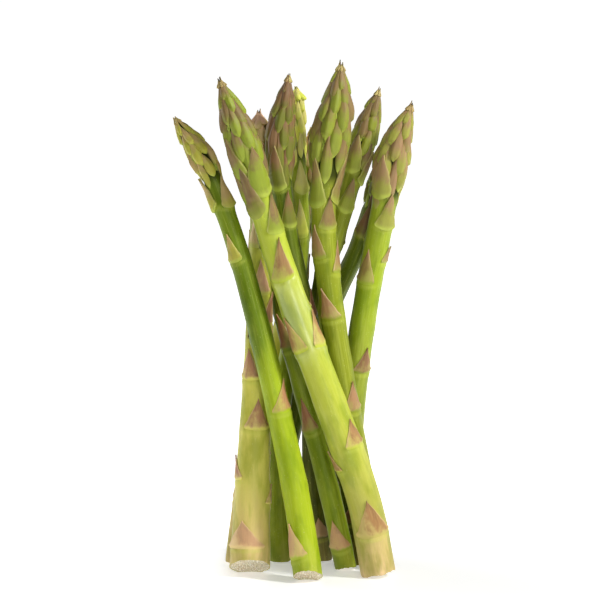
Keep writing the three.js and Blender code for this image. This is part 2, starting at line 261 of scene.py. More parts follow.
# Each spear as the frame has it: its middle line, its radii at the base, below the head and at the
# head's widest place, how it thins, the head's length, how far its cut rises along +X and +Y, and
# its scales as (height, facing, length, how much further round the tip sits). gloss is the index of
# its wax, and shine the share of its length where the wax gleams.
SPEARS = [
    dict(name="spear_left_front", slot="bright_spear", colours=BRIGHT,
         path=[(6, -27, 0), (1.5, -20, 31), (-7, -15, 72), (-17, -12, 113), (-25.5, -9, 142),
               (-36, -6, 168), (-48, -4, 185.5)],
         radii=(5.9, 3.6, 5.4), taper=0.85, head=32, cut=(0, -0.62),
         scales=[(9.5, -52, 14.5), (38, 165, 12), (67.5, 20, 13, 45), (98, -140, 12), (129, -35, 11.5),
                 (151.5, -75, 13), (150, 45, 12)]),
    dict(name="spear_main_front", slot="main_spear", colours=MAIN, gloss=2.2, shine=0.53,
         path=[(34.5, -14, 0), (28.5, -17, 31), (14.5, -17.5, 72), (-0.5, -15.5, 113), (-10, -13, 142),
               (-20, -12, 175), (-29.5, -12, 201)],
         radii=(7.3, 4.9, 7.2), taper=0.7, head=50, cut=(0.26, -0.05),
         scales=[(18.6, 12, 14.5), (46, -88, 9), (53.5, 48, 11), (72, 170, 13), (93.5, 68, 15),
                 (94, -52, 15), (108, 150, 13), (121.5, -8, 17, 34), (134, -130, 15),
                 (140, 40, 16, 12), (149.5, -35, 19), (153, -80, 14), (157, 22, 18), (163, -58, 18)]),
    dict(name="spear_left_thick", slot="pale_spear", colours=PALE,
         path=[(-18, -13, 0), (-17, -8, 29.5), (-15.5, -3.5, 70.5), (-14, -1, 111.5), (-13.5, 4, 152),
               (-14.3, 6, 187)],
         radii=(8.6, 4.2, 5.6), taper=1.6, head=36, tip="blunt", cut=(0, -0.55),
         scales=[(11, -24, 11), (29, 98, 8), (38.5, -86, 10), (48, 150, 13), (59.3, 10, 12.5),
                 (79.5, -35, 12.5), (97, 130, 13), (102, 62, 13), (114, 8, 14), (126, -120, 14),
                 (134, -15, 16), (144, 100, 14)]),
    dict(name="spear_middle_front", slot="dark_spear", colours=FRONT_DARK,
         path=[(21.5, 1, 0), (15.5, -3, 29), (4, -3.5, 74.5), (-1.5, -2.5, 95), (-6.5, 6.5, 112.5),
               (-10.5, 11.5, 132.5), (-10.5, 15, 155), (-8, 17, 171)],
         radii=(4.6, 3.6, 4.3), taper=1, head=22, cut=(0.15, -0.15),
         scales=[(9.8, -16, 13), (34, 160, 11), (58.5, -20, 14.5), (75, 120, 12), (92, -25, 14),
                 (122, -150, 12), (140, 40, 12)]),
    dict(name="spear_dark_head", slot="dark_spear", colours=DARK,
         path=[(24, 12, 0), (21.5, 11, 27.5), (13, 4.5, 69.5), (3.5, -1, 111.5), (-3, -3, 142.5),
               (-5.5, -4, 174), (-2, -4, 202.5)],
         radii=(4.5, 4, 6.2), taper=1, head=45, cut=(0.1, 0.1),
         scales=[(18, 10, 7), (44, 120, 12), (74, -160, 12), (104, 60, 12), (130, 170, 12),
                 (143, 25, 14), (158, -22, 17)]),
    dict(name="spear_tallest", slot="main_spear", colours=OLIVE,
         path=[(33, 3, 0), (28.5, -1, 29), (21, -6, 71), (15, -5, 112), (12, -4, 145), (14, -4, 172),
               (17.5, -4, 192), (19, -4, 207)],
         radii=(5.6, 4.8, 8.1), taper=1, head=50, cut=(0.2, 0.05),
         scales=[(26, 150, 12), (67, 40, 12), (86, -170, 12), (104.5, -8, 13, -28), (123, 74, 13),
                 (129.5, -45, 13.5), (136, 170, 13), (141.5, 27, 13), (152, -40, 17.5), (153, 75, 19)]),
    dict(name="spear_back_right_lean", slot="olive_spear", colours=LEAN,
         path=[(11.5, 22, 0), (8.2, 18.5, 30), (7.6, 14, 66), (11.2, 9.5, 114.5), (18.6, 8.5, 141.5),
               (26.3, 9, 169), (34.5, 10, 196)],
         radii=(4.4, 3.8, 5.6), taper=1, head=36, cut=(0, 0.2),
         scales=[(10.5, 12, 9), (40, 170, 11), (70, 60, 11), (96, -150, 11), (121.5, -75, 6),
                 (134, 140, 11), (148.5, 8, 12.5), (160, 70, 13), (164, -25, 14)]),
    dict(name="spear_right", slot="main_spear", colours=RIGHT,
         path=[(22, 27.5, 0), (22, 21, 34.5), (24.5, 11.5, 72.5), (29.5, 5, 110.5), (35.5, 2, 144),
               (41, 1, 173), (47.5, 0, 190.5)],
         radii=(5.6, 5, 7), taper=1, head=42, cut=(0, 0.2),
         scales=[(20, 120, 11), (52, -150, 12), (81.8, 35, 11), (100, 165, 12), (118.5, -30, 14),
                 (127.5, 80, 7), (134, -150, 12), (142, 25, 13.5), (154.5, -32, 16)]),
    dict(name="spear_back_slim", slot="bright_spear", colours=SLIM,
         path=[(-5.5, 20, 0), (-6.8, 18, 26.5), (-6, 14.5, 60), (0.6, 13.2, 106), (3, 10.5, 143),
               (1.4, 11, 172), (1, 12, 196.5)],
         radii=(4.6, 3.3, 4), taper=1, head=32, tip="blunt", cut=(0.05, 0.1),
         scales=[(30, 150, 10), (62, 160, 10), (94, -70, 11), (118, 110, 11), (137, 0, 15),
                 (155.5, 15, 12)]),
    dict(name="spear_back_right_short", slot="dark_spear", colours=DARK,
         path=[(-9, 28.5, 0), (-5, 27.5, 33.5), (2, 25, 67), (14.5, 20.5, 105), (26, 14.5, 130.5),
               (33, 14.8, 152), (38, 15.4, 172)],
         radii=(4.2, 3.8, 4.7), taper=1, head=28, cut=(0, 0),
         scales=[(24, 40, 10), (58, -140, 11), (88, 100, 11), (112, -60, 11), (137, -10, 13)]),
    dict(name="spear_back_left_foot", slot="olive_spear", colours=PALE,
         path=[(-24.5, 17, 0), (-20.8, 20, 26.5), (-11.3, 23.3, 63.5), (-6, 23.5, 92.5),
               (0.5, 21.5, 125.5), (3.8, 20, 142), (6.5, 18.8, 163), (7, 18.5, 179.5)],
         radii=(4.2, 3.1, 3.7), taper=1, head=24, cut=(-0.1, 0.1),
         scales=[(25.5, -80, 15), (52, 60, 10), (84, 170, 11), (112, -60, 11), (134, 100, 10),
                 (144.5, 0, 12)]),
]


def smooth(low, high, x):
    """0 below low, 1 above high, and a soft step between them"""
    t = np.clip((x - low) / (high - low), 0, 1)
    return t * t * (3 - 2 * t)


def unit(vectors):
    return vectors / np.linalg.norm(vectors, axis=-1, keepdims=True)


def spline(points, steps=60):
    """Points on the centripetal Catmull-Rom curve through the given ones"""
    points = np.array(points, float)
    first, last = 2 * points[0] - points[1], 2 * points[-1] - points[-2]
    held = np.vstack([first, points, last])
    t = np.linspace(0, 1, steps, endpoint=False)[:, None]
    pieces = []
    for a, b, c, d in zip(held, held[1:], held[2:], held[3:]):
        ab, bc, cd = (np.linalg.norm(q - p) ** 0.5 for p, q in ((a, b), (b, c), (c, d)))
        leave = ((b - a) / ab - (c - a) / (ab + bc) + (c - b) / bc) * bc
        arrive = ((c - b) / bc - (d - b) / (bc + cd) + (d - c) / cd) * bc
        pieces.append(b + leave * t + (3 * (c - b) - 2 * leave - arrive) * t**2
                      + (2 * (b - c) + leave + arrive) * t**3)
    return np.vstack([*pieces, points[-1:]])


class Spear:
    """One spear's middle line, radii and skin"""

    def __init__(self, facts, number):
        self.__dict__.update(facts)
        line = spline(self.path)
        along = np.r_[0, np.cumsum(np.linalg.norm(np.diff(line, axis=0), axis=1))]
        self.length = along[-1]
        self.places = np.linspace(0, self.length, LINE_PLACES)
        self.line = np.stack([np.interp(self.places, along, line[:, k]) for k in range(3)], axis=1)
        self.tangent = unit(np.gradient(self.line, axis=0))
        self.right = -unit(np.cross(self.tangent, [0, 1, 0]))
        self.front = -unit(np.cross(self.tangent, self.right))
        self.head_start = self.length - self.head
        self.random = np.random.default_rng(SEED + number)
        self.phase = self.random.uniform(0, 360, 6)
        self.shine = facts.get("shine", NO_GLEAM)
        self.gloss = facts.get("gloss", PLAIN_GLOSS)
        self.tip = facts.get("tip", "pointed")
        self.profile = HEAD_PROFILES[self.tip]
        self.low_scales = [
            (np.interp(height, self.line[:, 2], self.places), facing, length, lean[0] if lean else 0)
            for height, facing, length, *lean in self.scales
        ]

    def full_radius(self, s):
        base, neck, head = self.radii
        stem = neck + (base - neck) * (1 - np.clip(s, 0, self.head_start) / self.head_start) ** self.taper
        u = np.clip((s - self.head_start) / self.head, 0, 1)
        swollen = head * np.interp(u, self.profile[:, 0], self.profile[:, 1])
        first, share = self.profile[1]
        rising = neck + (head * share - neck) * u / first
        return np.where(u <= 0, stem, np.where(u < first, rising, swollen))

    def bare_radius(self, s):
        inside = smooth(self.head_start, self.head_start + 0.3 * self.head, s)
        return self.full_radius(s) * (1 + (CORE_SHARE - 1) * inside)

    def skin_radius(self, s, facing):
        """The stem's radius with its joints swollen below each scale and its faint long ribs"""
        radius = self.bare_radius(s) + 0 * facing
        calm = 1 - smooth(self.head_start, self.head_start + RELIEF_END, s)
        turn = np.radians(facing)
        ribs = sum(height * np.sin(count * turn + phase)
                   for (count, height), phase in zip(RIBS, self.phase))
        bulges = sum(height * np.sin(count * turn + s / pitch + phase)
                     for (count, pitch, height), phase in zip(BULGES, self.phase[len(RIBS):]))
        radius = radius + calm * (ribs + bulges)
        radius = radius * (1 - FOOT_ROUNDING * (1 - smooth(-0.6, 1.4, s)))
        return radius + calm * RIM_HEIGHT * self.ridge(s, facing) + calm * self.joint(s)

    def ridge(self, s, facing):
        """1 on the raised rim that each scale grows from, 0 away from it"""
        total = 0 * s + 0 * facing
        for place, turn, length, _ in self.low_scales:
            off = np.abs((facing - turn + 180) % 360 - 180)
            rim = place - RIM_BELOW - RIM_BOW * length * np.cos(np.radians(np.minimum(off * 1.4, 90)))
            total = total + np.exp(-(((s - rim) / RIM_WIDTH) ** 2)) * (1 - smooth(*RIM_FADE, off))
        return np.clip(total, 0, 1)

    def joint(self, s):
        """A slight swelling all round at each scale's height"""
        return sum(JOINT_HEIGHT * np.exp(-(((s - place) / JOINT_WIDTH) ** 2))
                   for place, *_ in self.low_scales)

    def on_line(self, rows, s):
        """The middle line's points, or its directions, read at lengths s"""
        return np.stack([np.interp(s, self.places, rows[:, k]) for k in range(3)], axis=-1)

    def at(self, s, facing, distance):
        """Points at length s, a facing and a distance from the middle line"""
        s, facing, distance = np.broadcast_arrays(s, facing, distance)
        held = np.clip(s, 0, self.length)
        turn = np.radians(facing)[..., None]
        out = np.cos(turn) * self.on_line(self.front, held) + np.sin(turn) * self.on_line(self.right, held)
        middle = self.on_line(self.line, held) + self.on_line(self.tangent, held) * (s - held)[..., None]
        return middle + out * distance[..., None]

    def outside(self, points):
        """How far points are outside the full radius, and the nearest points of the middle line"""
        step = 5
        line, radii = self.line[::step], self.full_radius(self.places[::step])
        gaps = np.linalg.norm(points[:, None] - line[None], axis=2) - radii
        nearest = gaps.argmin(1)
        return gaps.min(1), line[nearest]


SPEAR_LIST = [Spear(facts, number) for number, facts in enumerate(SPEARS)]


def keep_clear(spear, points):
    """Bends points clear of the neighbours: each stays nearer to its own spear than to any other"""
    shape = points.shape
    points = points.reshape(-1, 3).copy()
    centre = points.mean(0)
    reach = np.linalg.norm(points - centre, axis=1).max() + NEAR
    others = [
        other for other in SPEAR_LIST
        if other is not spear and other.outside(centre[None])[0][0] < reach
    ]
    if not others:
        return points.reshape(shape)
    for _ in range(BENDS):
        own, middle = spear.outside(points)
        for other in others:
            excess = own + CLEARANCE - other.outside(points)[0]
            away = np.linalg.norm(points - middle, axis=1)
            share = np.clip(0.5 * excess / away, 0, MOST_BEND)[:, None]
            points += (middle - points) * share
    return points.reshape(shape)


def new_object(name, data):
    thing = bpy.data.objects.new(name, data)
    bpy.context.scene.collection.objects.link(thing)
    return thing


class Surface:
    """Gathers quads and their point attributes for one mesh"""

    def __init__(self):
        self.points, self.quads, self.slots, self.count = [], [], [], 0
        self.fields = {}

    def add(self, points, quads, slot=0, **fields):
        points = points.reshape(-1, 3)
        self.points.append(points)
        self.quads.append(quads + self.count)
        self.slots.append(np.full(len(quads), slot))
        for name, values in fields.items():
            shape = (len(points),) if np.ndim(values) < 2 else (len(points), np.shape(values)[-1])
            rows = np.reshape(values, (-1,) + shape[1:])
            self.fields.setdefault(name, []).append(np.broadcast_to(rows, shape))
        self.count += len(points)

    def build(self, name, *materials):
        mesh = bpy.data.meshes.new(name)
        points = np.vstack(self.points) * MM
        quads = np.vstack(self.quads)
        mesh.from_pydata(points.tolist(), [], quads.tolist())
        for material in materials:
            mesh.materials.append(material)
        mesh.polygons.foreach_set("material_index", np.concatenate(self.slots).astype(np.int32))
        for field, parts in self.fields.items():
            values = np.concatenate(parts).astype(np.float32)
            kind = "FLOAT" if values.ndim == 1 else "FLOAT_VECTOR"
            attribute = mesh.attributes.new(field, kind, "POINT")
            attribute.data.foreach_set("value" if kind == "FLOAT" else "vector", values.ravel())
        mesh.shade_smooth()
        mesh.set_sharp_from_angle(angle=math.radians(SHARP_EDGE))
        return new_object(name, mesh)


def grid_quads(rows, columns, closed=False):
    i, j = np.meshgrid(np.arange(rows - 1), np.arange(columns if closed else columns - 1), indexing="ij")
    following = (j + 1) % columns
    quads = [i * columns + j, i * columns + following, (i + 1) * columns + following, (i + 1) * columns + j]
    return np.stack(quads, axis=-1).reshape(-1, 4)


def shell_quads(rows, columns):
    """Quads of an outer and an inner grid that are joined all round their edge"""
    outer = grid_quads(rows, columns)
    size = rows * columns
    index = np.arange(size).reshape(rows, columns)
    loop = np.concatenate([index[0, :-1], index[:-1, -1], index[-1, :0:-1], index[:0:-1, 0]])
    following = np.roll(loop, -1)
    band = np.stack([following, loop, loop + size, following + size], axis=-1)
    return np.vstack([outer, outer[:, ::-1] + size, band])


# Stems

def cut_starts(spear, facing):
    """How far each side of the stem runs on, below or above length 0, to the sloping cut"""
    rim = spear.at(0.0, facing, spear.skin_radius(0.0, facing))
    slope_x, slope_y = spear.cut
    tangent, middle = spear.tangent[0], spear.line[0]
    fall = tangent[2] - slope_x * tangent[0] - slope_y * tangent[1]
    rise = slope_x * (rim[:, 0] - middle[0]) + slope_y * (rim[:, 1] - middle[1])
    starts = (rise - rim[:, 2]) / fall
    lowest = (rim[:, 2] + starts * tangent[2]).min()
    return starts - (lowest + (FLAT_DEPTH if any(spear.cut) else 0)) / fall


def ragged_rim(spear):
    """How far each point of the cut's rim is torn up or down"""
    tears = spear.random.normal(0, TORN, STEM_COLUMNS)
    return tears + 0.5 * np.roll(tears, 1) + 0.5 * np.roll(tears, 2)


def add_stem(surface, spear):
    facing = np.arange(STEM_COLUMNS) * 360 / STEM_COLUMNS
    top = spear.length - 1
    rows = int(top / STEM_ROW)
    share = np.linspace(0, 1, rows)[:, None]
    starts = cut_starts(spear, facing)
    s = share * top + starts * np.clip(1 - share * top / CUT_REACH, 0, 1)
    points = spear.at(s, facing + 0 * s, spear.skin_radius(s, facing))
    points[0] += spear.tangent[0] * ragged_rim(spear)[:, None]
    turn = np.radians(facing) + 0 * s
    radius = spear.bare_radius(s)
    grain = np.stack([np.cos(turn) * radius, np.sin(turn) * radius, s], axis=-1).reshape(-1, 3)
    ridge = spear.ridge(s, facing)
    climb = s / spear.length
    points[..., 2] = np.maximum(points[..., 2], 0)
    # Painted shade: the core's skin inside the head is darkened, as the scales shade it
    deep = smooth(spear.head_start, spear.head_start + 6, s)
    surface.add(points, grid_quads(rows, STEM_COLUMNS, closed=True), grain=grain, ridge=ridge.ravel(),
                climb=climb.ravel(), wet=np.zeros(deep.size), deep=deep.ravel())
    close_top(surface, spear, points[-1], grain[-STEM_COLUMNS:])
    close_cut(surface, spear, points[0], grain[:STEM_COLUMNS])


def close_top(surface, spear, ring, grain):
    """A small cap on the core's end, under the last scales"""
    middle = ring.mean(0)
    rings = np.stack([ring, middle + 0.02 * (ring - middle) + spear.tangent[-1] * 0.4])
    # The cap is painted fully in shade, like the core it closes
    none, full = np.zeros(2 * STEM_COLUMNS), np.ones(2 * STEM_COLUMNS)
    surface.add(rings, grid_quads(2, STEM_COLUMNS, closed=True), grain=np.vstack([grain, grain]),
                ridge=none, climb=full, wet=none, deep=full)


def close_cut(surface, spear, rim, grain):
    """The cut end: a thin skin lip, then a slightly hollow and ragged fibrous face"""
    middle = rim.mean(0)
    shares, depth, ragged = np.array(CUT_RINGS).T
    rough = spear.random.normal(0, 1, (len(shares), STEM_COLUMNS)) * ragged[:, None]
    rings = middle + shares[:, None, None] * (rim - middle)
    rings = rings + spear.tangent[0] * (depth[:, None] + rough)[..., None]
    rings[..., 2] = np.maximum(rings[..., 2], 0)
    grains = (grain * shares[:, None, None]).reshape(-1, 3)
    quads = grid_quads(len(shares), STEM_COLUMNS, closed=True)[:, ::-1]
    none = np.zeros(len(grains))
    inward = np.repeat(1 - shares, STEM_COLUMNS)
    surface.add(rings, quads, slot=1, grain=grains, ridge=none, climb=none, wet=inward, deep=none)


# Scales

def blade_grid(rows, columns, closeness=1.0):
    """v runs from a scale's root to its tip, w from its left edge to its right one"""
    return np.linspace(0, 1, rows)[:, None] ** closeness, np.linspace(-1, 1, columns)[None, :]


def add_shell(surface, spear, outer, inner, v, w, width, length, kind):
    """A scale as one closed blade: outer and inner are each (length s, facing, distance)"""
    points = []
    for side in (outer, inner):
        bent = keep_clear(spear, spear.at(*side))
        bent[..., 2] = np.maximum(bent[..., 2], 0)
        points.append(bent.reshape(-1, 3))
    seed = spear.random.uniform()
    here, _, distance = outer
    core = spear.bare_radius(here)
    relief = spear.full_radius(here) - core
    # Painted shade: points sunk below the head's full radius are darkened, and the inner side of every
    # scale is at least half shaded
    deep = (1 - smooth(0.0, 0.62, (distance - core) / np.maximum(relief, 0.4))) * (relief > 0.3)
    leaf = np.stack([v + 0 * w, w + 0 * v, seed + 0 * v * w], axis=-1).reshape(-1, 3)
    shift = 0 * v * w + seed * GRAIN_SHIFT
    grain = np.stack([w * width, shift, length * v + 0 * w], axis=-1).reshape(-1, 3)
    kind = np.broadcast_to(kind, leaf.shape)
    surface.add(np.vstack(points), shell_quads(*(v * w).shape), leaf=np.vstack([leaf, leaf]),
                grain=np.vstack([grain, grain]), kind=np.vstack([kind, kind]),
                deep=np.r_[deep.ravel(), 0.5 + 0.5 * deep.ravel()])


def add_stem_scale(surface, spear, s, facing, length, lean):
    """A pointed scale below the head. Low ones lie flat and grow out of the skin at their root.
    High ones are collars that stand off, with flared corners at their root."""
    random = spear.random
    collar = float(smooth(*COLLARS, s / spear.length))
    radius = spear.bare_radius(s)
    wrap = radius * (1.0 + 0.3 * float(1 - smooth(12, 40, s)) - 0.05 * collar)
    v, w = blade_grid(*STEM_SCALE_GRID)
    phase = random.uniform(0, 6.3, 4)
    side = np.sign(w)
    ragged = 1 + 0.03 * np.sin(11 * v + phase[0] + 2 * side) + 0.018 * np.sin(31 * v + phase[1] - 3 * side)
    flat_outline = np.minimum(1, 0.84 + 2 * v) * (1 - v) ** 1.12
    collar_outline = np.minimum(1, 0.86 + 2 * v) * (1 - v) ** 0.9
    width = wrap * ragged * np.maximum(flat_outline * (1 - collar) + collar_outline * collar, 0.02)
    bow = length * (0.05 + 0.12 * collar * random.uniform(0.3, 1.3))
    here = s + length * v - bow * (1 - w**2) * (1 - v) ** 2
    sway = random.normal(0, 3) * v**2
    relief = 0.8 * (spear.full_radius(here) - spear.bare_radius(here)) * smooth(0.04, 0.2, v)
    around = facing + sway + lean * v + np.degrees(w * width / (spear.bare_radius(here) + 0.3))
    belly = (1 - np.abs(w) ** 2.4) ** 0.8
    creases = 0.05 * np.sin(9 * w + phase[2]) * (1 - v) + 0.05 * np.sin(8 * v + 3 * w + phase[3])
    lift = random.uniform(0.25, 0.75)
    corner = np.abs(w) ** 4 * np.exp(-(((v - 0.09) / 0.07) ** 2))
    bulge = smooth(0.0, 0.12, v) * (0.26 + 0.30 * belly)
    flat = bulge + lift * v**4 + creases * smooth(0.1, 0.4, v) + 0.4 * corner
    flare = 0.55 * np.abs(w) ** 3 * (1 - v) ** 3
    swell = (0.95 * radius / 5) * belly * np.sin(np.pi * v**0.75)
    standing = 0.62 + flare + swell + (lift + 0.2) * v**3 + creases
    height = relief + flat * (1 - collar) + standing * collar
    thickness = SCALE_THICKNESS * (1 - 0.35 * v)
    under = np.where(v < 0.08, -0.4, np.minimum(height - thickness, 0.5 * height))
    skin = spear.skin_radius(here, around)
    kind = (s / spear.length, FRESH, 0.0)
    add_shell(surface, spear, (here, around, skin + height), (here, around, skin + under),
              v, w, width, length, kind)


def add_stem_scales(surface, spear):
    for s, facing, length, lean in spear.low_scales:
        add_stem_scale(surface, spear, s, facing, length, lean)


def add_head_scale(surface, spear, s, facing, length, half_width, stand, dry=FRESH, grid=HEAD_SCALE_GRID):
    """A plump teardrop: its round root bulges over what is below, and its long tip lies on the head"""
    random = spear.random
    length, half_width, stand = np.array([length, half_width, stand]) * random.uniform(0.88, 1.12, 3)
    v, w = blade_grid(*grid, closeness=1.5)
    width = half_width * np.maximum(TEARDROP * v**0.45 * (1 - v) ** 1.15, 0.05)
    belly = (1 - np.abs(w) ** 2.2) ** 0.75
    here = s + length * (v - 0.07 * belly * (1 - v) ** 3)
    core = spear.bare_radius(here)
    crown = np.maximum(spear.full_radius(here) - core, 0.4) * stand
    swell = 0.5 + 0.6 * smooth(0, 0.16, v) - 0.55 * smooth(0.3, 1, v)
    edge = 0.12 + 0.45 * v**2
    furrow = 0.05 * np.sin(random.uniform(7, 11) * w + random.uniform(0, 6)) * (1 - w**2)
    keel = furrow + 0.07 * np.exp(-((w / 0.16) ** 2)) * smooth(0.2, 0.5, v)
    height = crown * swell * (edge + (1 - edge) * belly + keel)
    under = -0.35 + (height + 0.05) * smooth(0.45, 0.9, v)
    sway = random.normal(0, 5) * v**2
    spread = np.minimum(np.degrees(width / np.maximum(core + 0.5 * crown, 0.8)), 75)
    around = facing + sway + w * spread
    root = s + length * (0.08 + 0.92 * v)
    kind = (0.8 + 0.2 * (s - spear.head_start) / spear.head, dry, 0.0)
    add_shell(surface, spear, (here, around, core + height), (root, around, core + under),
              v, w, width, length, kind)


def head_places(spear):
    """Where the head's scales grow: (share of the head, facing), by the golden turn"""
    count = round(HEAD_SCALES + SCALES_PER_MM * spear.head)
    first = spear.path[0][0] * 31
    for k in range(count):
        yield 0.9 * (k / count) ** 0.95 - 0.02, first + k * GOLDEN_TURN


def add_head_scales(surface, spear):
    for u, facing in head_places(spear):
        s = spear.head_start + u * spear.head
        full = spear.full_radius(s + 2)
        length = min(spear.head * (0.42 * (1 - u) + 0.24 * u), spear.length + TIP_OVER - s)
        stand = 1.12 - 0.12 * u
        add_head_scale(surface, spear, s, facing + spear.random.normal(0, 6), length,
                       0.4 * full + 0.3, stand)


def add_wisps(surface, spear):
    """Ends that close the tip of the head: dry and frayed, or fresh and short on a blunt one"""
    count, back, width, dry = WISPS[spear.tip]
    for k in range(count):
        facing = k * GOLDEN_TURN + spear.phase[4]
        length = back * spear.random.uniform(1, 1.3)
        add_head_scale(surface, spear, spear.length - back, facing, length, width,
                       spear.random.uniform(0.8, 2.0), dry, WISP_GRID)


def add_buds(surface, spear):
    """Small pale green buds that look out between the scales"""
    places = [(spear.head_start + u * spear.head, facing, 1 - 0.45 * u)
              for u, facing in head_places(spear) if BUDS_FROM < u < BUDS_TO]
    for s, facing, size in places:
        side = spear.random.choice([-1, 1])
        for k in range(BUD_ROW):
            turn = facing + side * (40 + 11 * k) + spear.random.uniform(-3, 3)
            root = s + 1.6 * k + spear.random.uniform(0, 1)
            add_head_scale(surface, spear, root, turn, BUD_LENGTH * size, BUD_HALF_WIDTH * size,
                           BUD_STAND, BUD, BUD_GRID)


# Materials

class Socket:
    """An output socket whose arithmetic adds Math nodes"""

    def __init__(self, shader, output):
        self.shader, self.output = shader, output

    def math(self, operation, *values):
        return self.shader.node("ShaderNodeMath", dict(operation=operation), list(values))

    def __add__(self, other):
        return self.math("ADD", self, other)

    def __mul__(self, other):
        return self.math("MULTIPLY", self, other)

    def __sub__(self, other):
        return self.math("SUBTRACT", self, other)

    def __rsub__(self, other):
        return self.math("SUBTRACT", other, self)

    __radd__ = __add__
    __rmul__ = __mul__

    def size(self):
        return self.math("ABSOLUTE", self)

    def larger(self, other):
        return self.math("MAXIMUM", self, other)

    def step(self, low, high):
        settings = dict(interpolation_type="SMOOTHSTEP")
        values = {"Value": self, "From Min": low, "From Max": high}
        return self.shader.node("ShaderNodeMapRange", settings, values)


class Shader:
    """A new node material with one Principled shader"""

    def __init__(self, name, **constants):
        self.material = bpy.data.materials.new(name)
        self.material.use_nodes = True
        self.tree = self.material.node_tree
        self.surface = next(n for n in self.tree.nodes if n.type == "BSDF_PRINCIPLED")
        for socket, value in constants.items():
            self.surface.inputs[socket.replace("_", " ")].default_value = value

    def node(self, kind, settings=None, values=None, output=0):
        node = self.tree.nodes.new(kind)
        for key, value in (settings or {}).items():
            if key == "stops":
                self.set_stops(node.color_ramp, value)
            else:
                setattr(node, key, value)
        pairs = values.items() if isinstance(values, dict) else enumerate(values or [])
        for key, value in pairs:
            self.feed(node.inputs[key], value)
        return Socket(self, node.outputs[output])

    def feed(self, target, value):
        if isinstance(value, Socket):
            self.tree.links.new(value.output, target)
        elif target.type == "RGBA" and len(value) == 3:
            target.default_value = (*value, 1)
        else:
            target.default_value = value

    def set_stops(self, ramp, stops):
        while len(ramp.elements) < len(stops):
            ramp.elements.new(1)
        for element, (place, colour) in zip(ramp.elements, stops):
            element.position = place
            element.color = (*colour, 1)

    def field(self, name, output="Vector"):
        return self.node("ShaderNodeAttribute", dict(attribute_name=name), output=output)

    def parts(self, vector):
        """The vector's three numbers"""
        first = self.node("ShaderNodeSeparateXYZ", None, [vector])
        return [Socket(self, output) for output in first.output.node.outputs]

    def noise(self, vector, cycles, detail, rough):
        """Noise with its own number of cycles along each of the vector's three ways"""
        place = self.node("ShaderNodeVectorMath", dict(operation="MULTIPLY"), [vector, cycles])
        values = {"Vector": place, "Scale": 1.0, "Detail": detail, "Roughness": rough}
        return self.node("ShaderNodeTexNoise", None, values)

    def mix(self, share, one, two, blend="MIX"):
        settings = dict(data_type="RGBA", blend_type=blend)
        return self.node("ShaderNodeMix", settings, {0: share, 6: one, 7: two}, output=2)

    def ramp(self, share, stops):
        return self.node("ShaderNodeValToRGB", dict(stops=stops), {"Fac": share})

    def bump(self, height, strength, distance):
        values = {"Height": height, "Strength": strength, "Distance": distance}
        normal = self.node("ShaderNodeBump", None, values)
        self.feed(self.surface.inputs["Normal"], normal)

    def colour(self, value):
        self.feed(self.surface.inputs["Base Color"], value)

    def roughness(self, value):
        self.feed(self.surface.inputs["Roughness"], value)


def times(colour, factor):
    return tuple(channel * factor for channel in colour)


def skin_material(spear):
    """Fresh stem skin: long fine streaks, soft mottling and a yellower rim below each scale"""
    shader = Shader(f"{spear.name}_skin", Coat_Roughness=0.38, Coat_IOR=spear.gloss,
                    Specular_IOR_Level=0.12, Subsurface_Weight=0.05, Subsurface_Scale=MM)
    shader.surface.inputs["Subsurface Radius"].default_value = (0.9, 1.0, 0.25)
    grain = shader.field("grain")
    climb = shader.field("climb", "Fac")
    ridge = shader.field("ridge", "Fac")
    deep = shader.field("deep", "Fac")
    streaks = shader.noise(grain, STREAKS, 4.0, 0.6)
    fine = shader.noise(grain, FINE_LINES, 3.0, 0.6)
    mottle = shader.noise(grain, MOTTLES, 3.0, 0.55)
    specks = shader.noise(grain, SPECKS, 2.0, 0.5)
    waxy = shader.noise(grain, WAX_PATCHES, 2.0, 0.5)
    wavy = climb + (mottle - 0.5) * 0.16
    # The skin's colour along the spear, which for the front left spear holds a painted shadow band
    base = shader.ramp(wavy, spear.colours["skin"])
    dark = shader.mix(1.0, base, MOTTLE_SHADE, "MULTIPLY")
    light = shader.mix(0.45, base, STREAK_GREEN)
    tone = shader.mix(streaks.step(0.42, 0.72) * 0.45, base, light)
    tone = shader.mix(mottle.step(0.42, 0.66) * 0.75, tone, dark)
    tone = shader.mix(fine.step(0.5, 0.75) * 0.25, tone, dark)
    tone = shader.mix(ridge.step(0.3, 1.0) * 0.28, tone, RIM_GREEN)
    tone = shader.mix(specks.step(0.66, 0.74) * 0.3, tone, SPECK_CREAM)
    # Painted shade on the core inside the head
    tone = shader.mix(deep * 0.92, tone, CREVICE_SHADE)
    shader.colour(tone)
    shader.roughness(0.34 + mottle * 0.12 + specks * 0.08)
    gleam = (climb - spear.shine).size().step(0.11, 0.04)
    shader.feed(shader.surface.inputs["Coat Weight"], (1 - deep) * (gleam * 0.65 + waxy * 0.25))
    shader.bump(waxy * 3.0 + streaks * 0.7 + fine * 0.4 + specks * 0.3, 0.5, 0.00016)
    return shader.material


